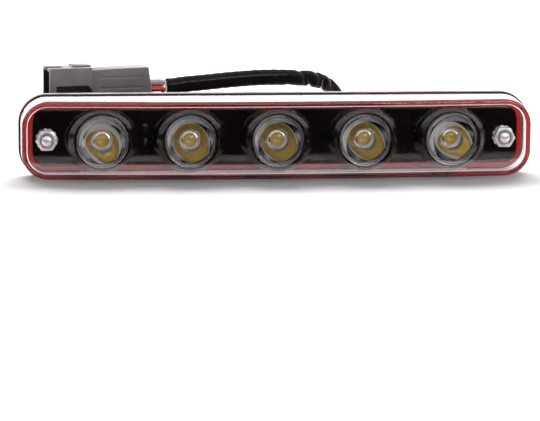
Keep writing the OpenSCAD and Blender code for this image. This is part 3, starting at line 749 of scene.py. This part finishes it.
# %% [markdown]
# Boxy moulded and cut pieces already have their shape in the solid, so making them anew
# would only risk a difference. In a copy of the solid the loose triangles are merged and the
# flat faces joined, and a narrow Bevel rounds the edges so that they catch light.

# %% Softened copies of solids
PLUG_MAT = solid_finish("connector_grey", (0.27, 0.245, 0.243), (0.33, 0.3, 0.298), 0.28, 0.4,
                        4500, 90, 0.25, 0.00003, IOR=1.3)
SINK_MAT = solid_finish("sink_aluminium", (0.52, 0.53, 0.55), (0.62, 0.63, 0.65), 0.32, 0.5,
                        2500, 30, 0.3, 0.00003, Metallic=1.0)
BRASS_MAT = solid_finish("terminal_brass", (0.6, 0.42, 0.16), (0.7, 0.5, 0.22), 0.2, 0.35, Metallic=1.0)
WIRE_SEAL_MAT = solid_finish("wire_seal_rubber", (0.06, 0.06, 0.06), (0.09, 0.09, 0.09), 0.45, 0.6)
GROMMET_MAT = solid_finish("grommet_rubber", (0.012, 0.012, 0.012), (0.022, 0.022, 0.022), 0.5, 0.65,
                           4000, 80, 0.2)


def softened(node, finish, width, segments=3):
    """A merged copy of a solid with rounded edges, which stands for the solid."""
    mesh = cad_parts[node].data.copy()
    bm = bmesh.new()
    bm.from_mesh(mesh)
    bmesh.ops.remove_doubles(bm, verts=bm.verts, dist=2e-6)
    bmesh.ops.dissolve_limit(bm, angle_limit=math.radians(1), verts=bm.verts, edges=bm.edges)
    bm.to_mesh(mesh)
    bm.free()
    mesh.materials.clear()
    mesh.materials.append(finish)
    mesh.shade_smooth()
    piece = add_object(node + "_finished", mesh)
    bevel = piece.modifiers.new("round_edges", "BEVEL")
    bevel.width, bevel.segments = width * MM, segments
    bevel.limit_method, bevel.angle_limit = "ANGLE", math.radians(35)
    bevel.harden_normals = True
    bevel.use_clamp_overlap = True
    return claim(piece, node)


softened("rear_housing", HOUSING_MAT, 0.4)
softened("heat_sink", SINK_MAT, 0.15, 2)
lead_pieces = [softened("connector_shell", PLUG_MAT, 0.2),
               softened("connector_body", PLUG_MAT, 0.35),
               softened("connector_wire_seal", WIRE_SEAL_MAT, 0.3),
               softened("connector_terminals", BRASS_MAT, 0.12, 2),
               softened("cable_grommet", GROMMET_MAT, 0.2)]

# %% [markdown]
# What is sealed inside, such as the board and its parts, hardly shows. These solids stay as
# they are and only get a finish each. The LED packages are white ceramic round their domes,
# and the seal under the cover's wall is a strong red, like the edge of the real cover.

# %% Finishes on the solids that stay as they are
BOARD_MAT = solid_finish("board_white", (0.8, 0.79, 0.77), (0.88, 0.87, 0.85), 0.3, 0.45)
SEAL_MAT = solid_finish("seal_rubber", (0.74, 0.05, 0.055), (0.82, 0.07, 0.075), 0.4, 0.5)
GREEN_MAT = solid_finish("driver_green", (0.02, 0.12, 0.04), (0.04, 0.2, 0.07), 0.3, 0.45)
COIL_MAT = solid_finish("coil_copper", (0.2, 0.08, 0.03), (0.34, 0.15, 0.06), 0.3, 0.5, 2500, 900, 0.4)
CHIP_MAT = solid_finish("chip_black", (0.02, 0.02, 0.02), (0.035, 0.035, 0.035), 0.5, 0.65)
CERAMIC_MAT = solid_finish("led_ceramic", (0.86, 0.85, 0.83), (0.92, 0.91, 0.89), 0.4, 0.5)
STAYING = {"lens_seal": SEAL_MAT, "circuit_board": BOARD_MAT, "board_screws": STEEL_MAT,
           "driver_board": GREEN_MAT, "driver_coil": COIL_MAT, "driver_chip": CHIP_MAT}
STAYING.update({f"led_package_{i}": CERAMIC_MAT for i in LIGHTS})
for name, mat in STAYING.items():
    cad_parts[name].data.materials.clear()
    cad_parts[name].data.materials.append(mat)
print("solids with a new finish:", len(STAYING))

# %% [markdown]
# The connector lies turned by a few degrees behind the lamp's top edge. Its mouth and the
# slot in its side are deep and narrow, so hardly any light gets into them. The studio's
# light here is broad and reaches further in than in the photograph, so these hollows get
# painted shade: a dark tone mixed into the connector's Base Color, found from Object
# coordinates in the connector's turned axes.

# %% Painted shade in the connector's hollows
TURN = math.radians(13)
TUB_UP = box_of("connector_shell")[0][2]
PLUG_LEFT, PLUG_FORWARD = 11.35 - HALF_LENGTH, -6.5
# Boxes of painted shade, as middle and half size along, across and up in mm: the side slot and the inside of
# the mouth.
SLOT = ((9.2, 0.5, 4.68), (7.2, 0.15, 1.9))
MOUTH = ((6, 5.5, 6.5), (6.6, 4.7, 5.4))


def at_plug(along, across, up):
    """A point of the turned connector, as (along, forward, up) of the lamp."""
    return (PLUG_LEFT + math.cos(TURN) * along - math.sin(TURN) * across,
            PLUG_FORWARD - math.sin(TURN) * along - math.cos(TURN) * across, TUB_UP + up)


def paint_shade_in_hollows(mat, hollows):
    """Painted shade: a mask of boxes, each a middle and a half size along, across and up in mm, mixes a dark
    tone into Base Color.
    """
    tree = mat.node_tree
    along, forward, up = at_plug(0, 0, 0)
    place = arithmetic(tree, "SUBTRACT", tree.nodes.new("ShaderNodeTexCoord").outputs["Object"],
                       to_world([along, up, forward])[0], kind="ShaderNodeVectorMath")
    axes = ((math.cos(TURN), math.sin(TURN), 0), (-math.sin(TURN), math.cos(TURN), 0), (0, 0, 1))
    offsets = [arithmetic(tree, "DOT_PRODUCT", place, axis, kind="ShaderNodeVectorMath", output=1)
               for axis in axes]
    mask = 0.0
    for middle, half in hollows:
        inside = 1.0
        for offset, m, h in zip(offsets, middle, half):
            inside = arithmetic(tree, "MULTIPLY", arithmetic(tree, "COMPARE", offset, m * MM, h * MM), inside)
        mask = arithmetic(tree, "MAXIMUM", inside, mask)
    colour, mix = tree.nodes["Principled BSDF"].inputs["Base Color"], tree.nodes.new("ShaderNodeMix")
    mix.data_type = "RGBA"
    plain, dark, mixed = mix.inputs[6], mix.inputs[7], mix.outputs[2]
    tree.links.new(mask, mix.inputs["Factor"])
    tree.links.new(colour.links[0].from_socket, plain)
    # The dark tone is painted shade, mixed in wherever the box mask is on.
    dark.default_value = (0.02, 0.017, 0.017, 1)
    tree.links.new(mixed, colour)


paint_shade_in_hollows(PLUG_MAT, [SLOT, MOUTH])
print("connector turned by, degrees:", round(math.degrees(TURN)))

# %% [markdown]
# The lead is a short black sheath over three wires. It comes out of the grommet, turns up
# behind the lamp and lies along the top to the connector. A cord has a fixed length, so its
# route is a list of given points, along the lamp, forward and up, and the length is
# printed. A smooth curve runs through all points, as a stiff lead bends evenly.

# %% The lead's route
SHEATH_D, WIRE_D = 5.4, 2.2
PLUG_LENGTH = 39.2
TUB_BACK = -24.0
SHEATH_END = at_plug(PLUG_LENGTH + 6.8, 5.4, 4.4)
GROMMET_X = seat_of("cable_grommet")[0]
BENDS = [(1, -2, 10), (1, -7, 10), (1, -11.5, 10.2), (0.986, -17.5, 13.5), (0.944, -20, 20),
         (0.882, -17, TUB_UP + 0.9), (0.79, -12, TUB_UP + 4.5), (0.668, -7, TUB_UP + 6),
         (0.503, -3.5, TUB_UP + 6.6), (0.337, -1.5, TUB_UP + 6.1), (0.171, 0.3, TUB_UP + 5.2)]
SHEATH_ROUTE = [(SHEATH_END[0] + (GROMMET_X - SHEATH_END[0]) * share, TUB_BACK + forward, up)
                for share, forward, up in BENDS] + [SHEATH_END]


def smooth_route(route, steps):
    """A curve through all points: each stretch is a cubic of its four nearest points."""
    p = np.array([(along, up, forward) for along, forward, up in route], float)
    q = np.concatenate([p[:1], p, p[-1:]])
    t = np.linspace(0, 1, steps, endpoint=False)[:, None]
    out = []
    for a, b, c, d in zip(q[:-3], q[1:-2], q[2:-1], q[3:]):
        bend, twist = 2 * a - 5 * b + 4 * c - d, 3 * b - 3 * c + d - a
        out.append(0.5 * (2 * b + (c - a) * t + bend * t ** 2 + twist * t ** 3))
    return np.concatenate(out + [p[-1:]])


def lengths_along(path):
    """Length of the path from its start to each of its points."""
    return np.concatenate([[0], np.cumsum(np.linalg.norm(np.diff(path, axis=0), axis=1))])


def path_length(path):
    """The whole length of the path."""
    return float(lengths_along(path)[-1])


sheath_path = smooth_route(SHEATH_ROUTE, 16)
print("sheath length, mm:", round(path_length(sheath_path), 1))

# %% [markdown]
# A ring is carried along the curve. If each ring's frame were built anew, it would spin where
# the curve turns, and wrinkles would wind round the lead. So one side vector is carried from
# ring to ring and only straightened against the new heading, as a cord that isn't twisted.

# %% Rings along a path
def swept(path, radius, sides):
    """Rings across the heading, from a side vector carried along; radius has a value a ring and side."""
    heading = np.gradient(path, axis=0)
    heading /= np.linalg.norm(heading, axis=1)[:, None]
    side = np.zeros_like(path)
    carried = np.array([0.0, 1.0, 0.1])
    for k, direction in enumerate(heading):
        carried = carried - (carried @ direction) * direction
        carried /= np.linalg.norm(carried)
        side[k] = carried
    other = np.cross(heading, side)
    a = np.linspace(0, 2 * np.pi, sides, endpoint=False)[None, :, None]
    points = path[:, None] + radius[..., None] * (np.cos(a) * side[:, None] + np.sin(a) * other[:, None])
    return points.reshape(-1, 3), grid_quads(len(path), sides, wrap_cols=True) + end_caps(len(path), sides)


print("rings along the sheath:", len(sheath_path))

# %% [markdown]
# Soft vinyl on loose wires is never a clean tube. It has faint ripples all over, is pressed
# a little flat past its first bends, and has sharp folds where it comes over the lamp's
# back. All of these change the radius by place and angle, so the sheath stays one closed grid.

# %% Sheath
SHEATH_MAT = solid_finish("sheath_vinyl", (0.014, 0.010, 0.010), (0.024, 0.018, 0.018), 0.14, 0.24,
                          1500, 120, 0.12, 0.00005, IOR=1.2)
# Place along the sheath, angle round it, depth and width of each fold, in mm and radians.
FOLDS = [(32, 5.8, 0.7, 0.9), (35.5, 1.2, 0.9, 0.8), (38, 5.2, 0.9, 0.9), (40.5, 0.4, -0.4, 0.7),
         (42, 1.4, 0.9, 0.8), (45, 5.4, 0.8, 1.0), (49, 1.0, 0.6, 1.2), (54, 5.0, 0.3, 1.6)]


def sheath_radius(sides=40):
    """Radius times an oval share, plus two sine ripples, less bell-shaped folds, drawn in at both ends."""
    a = np.linspace(0, 2 * np.pi, sides, endpoint=False)
    S, A = np.meshgrid(lengths_along(sheath_path), a, indexing="ij")
    left = path_length(sheath_path) - S
    flat = np.clip((S - 30) / 12, 0, 1) * np.clip((left - 1) / 6, 0.4, 1)
    oval_share = 1 + (0.03 - 0.13 * np.cos(2 * A)) * flat
    ripple = 0.05 * np.sin(S * 1.7 + 1.3 * np.sin(A * 2)) + 0.03 * np.sin(S * 4.1 + 2 * A)
    folds = np.zeros_like(S)
    for place, turn, deep, wide in FOLDS:
        off = (S - place - 1.2 * np.sin(A - turn)) / wide
        folds += deep * np.exp(-off ** 2) * np.clip(np.cos(A - turn) + 0.35, 0, 1)
    end = np.minimum(1, np.minimum(S, left) / 0.5)
    return ((SHEATH_D / 2 - 0.09) * oval_share + ripple - folds) * (0.93 + 0.07 * np.sqrt(end))


sheath = new_piece("lead_sheath", [swept(sheath_path, sheath_radius(), 40)], SHEATH_MAT,
                   "cable_sheath", 50, weld=0.0005)

# %% [markdown]
# Three wires bridge the gap between the sheath's cut end and the connector's seal. They are
# plain round cords on short curves of their own. Mirror images skip the lead, or it would
# stain the cover's bright top edge.

# %% Wires, and the lead kept out of mirror images
WIRE_RED_MAT = solid_finish("wire_red", (0.88, 0.014, 0.026), (0.96, 0.025, 0.04), 0.2, 0.3, 2500, 150, 0.1)
WIRE_BLACK_MAT = solid_finish("wire_black", (0.01, 0.01, 0.01), (0.02, 0.02, 0.02), 0.2, 0.3, 2500, 150, 0.1)
WIRE_WHITE_MAT = solid_finish("wire_white", (0.74, 0.7, 0.62), (0.82, 0.78, 0.72), 0.25, 0.35, 2500, 150, 0.1)


def make_wire(colour, start, across, up, finish, sides=20):
    """A round cord from the sheath's end to the connector's seal, through points of the connector."""
    route = [tuple(np.add(SHEATH_END, start))]
    route += [at_plug(PLUG_LENGTH + x, 5 + across, 6.5 + up) for x in (4.08, 1.496, -1.4)]
    path = smooth_route(route, 10)
    part = swept(path, np.full((len(path), sides), WIRE_D / 2), sides)
    return new_piece(f"lead_wire_{colour}", [part], finish, f"wire_{colour}", 50, weld=0.0005)


wires = [make_wire("red", (-0.7, 1.2, -1.35), -1.2, -2.9, WIRE_RED_MAT),
         make_wire("black", (-0.9, -1.1, 0), 1.6, -1.4, WIRE_BLACK_MAT),
         make_wire("white", (-0.9, 1.2, 1.45), -1.2, -0.2, WIRE_WHITE_MAT)]
for piece in [sheath] + wires + lead_pieces:
    piece.visible_glossy = False
print("pieces that go with the lead:", len(wires + lead_pieces))
print("finishes:", len(bpy.data.materials))

# %% [markdown]
# The lamp stands on plain white paper. Close by, the paper is lit by the studio lights alone
# and keeps the lamp's shadow. Further away their light fades, and there Light Path lets the
# paper glow for the camera only, so that it stays white and adds no light to the lamp. Seen
# through clear plastic it glows at a constant level, which is painted light on the shadowed
# paper under the cover, and its mirror images are tinted pink, a painted reflection of the
# red pieces near it.

# %% Floor
# Painted light: the pink tint stands in for red reflected into the paper's mirror images, and the glow through
# plastic lights shadowed paper.
PAINTED_PINK_REFLECTION = (1, 0.6, 0.66, 1)
PAPER_GLOW_THROUGH_PLASTIC = 0.55
PAPER_FADE = (0.1, 1.0)


def map_range(tree, value, low, high, to_low=0.0, to_high=1.0, curve="SMOOTHSTEP"):
    """A Map Range node: low to high becomes to_low to to_high, and nothing goes past these."""
    node = tree.nodes.new("ShaderNodeMapRange")
    node.interpolation_type = curve
    for key, number in (("From Min", low), ("From Max", high), ("To Min", to_low), ("To Max", to_high)):
        node.inputs[key].default_value = number
    tree.links.new(value, node.inputs["Value"])
    return node.outputs["Result"]


def flat_sheet(name, corners, finish):
    """One face through four corners in metres, kept out of the finished part."""
    mesh = bpy.data.meshes.new(name)
    mesh.from_pydata(corners, [], [(0, 1, 2, 3)])
    mesh.materials.append(finish)
    sheet = add_object(name, mesh)
    return sheet


def paper_finish():
    """Emission for the camera grows evenly with the distance from the lamp; through plastic it is a constant
    painted glow, painted pink after a mirror bounce.
    """
    mat, tree, bsdf = start_material("floor_paper", Base_Color=(0.93, 0.93, 0.93, 1), Roughness=0.6,
                                     Specular_IOR_Level=0.2)
    path, pink_reflection_ramp = tree.nodes.new("ShaderNodeLightPath"), tree.nodes.new("ShaderNodeValToRGB")
    pink_reflection_ramp.color_ramp.elements[0].color, pink_reflection_ramp.color_ramp.elements[1].color = (1, 1, 1, 1), PAINTED_PINK_REFLECTION
    tree.links.new(path.outputs["Glossy Depth"], pink_reflection_ramp.inputs["Fac"])
    tree.links.new(pink_reflection_ramp.outputs["Color"], bsdf.inputs["Emission Color"])
    span = arithmetic(tree, "LENGTH", tree.nodes.new("ShaderNodeTexCoord").outputs["Object"],
                      kind="ShaderNodeVectorMath", output=1)
    fade = map_range(tree, span, *PAPER_FADE, curve="LINEAR")
    seen = arithmetic(tree, "MULTIPLY", path.outputs["Is Camera Ray"], fade)
    level = arithmetic(tree, "MULTIPLY_ADD", path.outputs["Is Transmission Ray"], PAPER_GLOW_THROUGH_PLASTIC, seen)
    tree.links.new(level, bsdf.inputs["Emission Strength"])
    return mat


SIDE = 3.0
flat_sheet("floor", [(-SIDE, -SIDE, 0), (SIDE, -SIDE, 0), (SIDE, SIDE, 0), (-SIDE, SIDE, 0)], paper_finish())
print("floor side, m:", 2 * SIDE)

# %% [markdown]
# A polished black mask looks black only if it has something dark to mirror. Photographers
# lay a black card in front of such an object, just outside the picture. This card is hidden
# from the camera and takes no light away, and only mirror images and rays that have come
# through clear plastic see it.

# %% Black card
CARD_NEAR, CARD_FAR, CARD_SIDE, CARD_UP = -0.052, -2.9, 2.5, 0.001
CARD_MAT = start_material("card_black", Base_Color=(0.01, 0.01, 0.01, 1), Roughness=0.9,
                          Specular_IOR_Level=0.0)[0]
card = flat_sheet("black_card", [(-CARD_SIDE, CARD_FAR, CARD_UP), (CARD_SIDE, CARD_FAR, CARD_UP),
                                 (CARD_SIDE, CARD_NEAR, CARD_UP), (-CARD_SIDE, CARD_NEAR, CARD_UP)], CARD_MAT)
for kind in ("camera", "diffuse", "volume_scatter", "shadow"):
    setattr(card, "visible_" + kind, False)
print("card's near edge, y in mm:", round(CARD_NEAR / MM))

# %% [markdown]
# The world is the rest of the studio, as a level for each direction. It is white to the
# camera and, as light, dim in front and brighter behind. Mirror images also see a bright low
# strip behind, which makes the flange's top edge and the cover's upper wall read white, and
# a ceiling in front, whose lower edge is the sharp line on the cones' grey shoulders.

# %% World
DIM_FRONT, BEHIND = 0.08, 0.6
BACKDROP, CEILING = 2.1, 1.1


def make_world():
    """Level = spread over Y, plus (strip + ceiling) for mirrored rays, and at least 1 for camera rays."""
    world = bpy.data.worlds.new("studio")
    bpy.context.scene.world = world
    world.use_nodes = True
    tree = world.node_tree
    split, path = tree.nodes.new("ShaderNodeSeparateXYZ"), tree.nodes.new("ShaderNodeLightPath")
    tree.links.new(tree.nodes.new("ShaderNodeTexCoord").outputs["Generated"], split.inputs[0])
    y, z = split.outputs["Y"], split.outputs["Z"]
    level = map_range(tree, y, -0.3, 0.4, DIM_FRONT, BEHIND)
    strip = arithmetic(tree, "MULTIPLY", map_range(tree, y, 0.5, 0.9, 0.0, BACKDROP),
                       map_range(tree, z, 0.215, 0.27, 1.0, 0.0))
    ceiling = arithmetic(tree, "MULTIPLY", map_range(tree, z, 0.14, 0.2, 0.0, CEILING),
                         map_range(tree, y, 0.3, 0.7, 1.0, 0.0))
    mirrored = arithmetic(tree, "MAXIMUM", path.outputs["Is Glossy Ray"], path.outputs["Is Transmission Ray"])
    shapes = arithmetic(tree, "MULTIPLY", arithmetic(tree, "ADD", strip, ceiling), mirrored)
    total = arithmetic(tree, "MAXIMUM", path.outputs["Is Camera Ray"], arithmetic(tree, "ADD", level, shapes))
    tree.links.new(total, tree.nodes["Background"].inputs["Strength"])
    tree.nodes["Background"].inputs["Color"].default_value = (1, 1, 1, 1)
    return world


print("world:", make_world().name)

# %% [markdown]
# Two soft lights. The wide one hangs above and behind, gives the shadow in front of the lamp
# and stays out of mirror images, where it would draw hard white arcs on the cones. The fill
# in front is weak and off to the right, and mirror images do show it.

# %% Lights
def soft_light(name, place, aim, size, power, mirrored):
    """A rectangle of light of that size in metres, turned from its place towards its aim."""
    data = bpy.data.lights.new(name, "AREA")
    data.shape, data.energy = "RECTANGLE", power
    data.size, data.size_y = size
    lamp = add_object(name, data)
    lamp.location = place
    lamp.rotation_mode = "QUATERNION"
    lamp.rotation_quaternion = (Vector(aim) - Vector(place)).to_track_quat("-Z", "Y")
    lamp.visible_glossy = lamp.visible_transmission = mirrored
    return lamp


soft_light("top_softbox", (0, 0.62, 0.66), (0, 0, 0), (0.8, 0.3), 12.5, mirrored=False)
soft_light("front_fill", (0.55, -1.0, 0.5), (0, 0, 0.01), (0.6, 0.3), 4.0, mirrored=True)
bpy.context.scene.view_settings.view_transform = "Standard"

# %% [markdown]
# A last update of the view layer. The finished pieces are meant to fill the same box as the
# solids.

# %% Last update
bpy.context.view_layer.update()
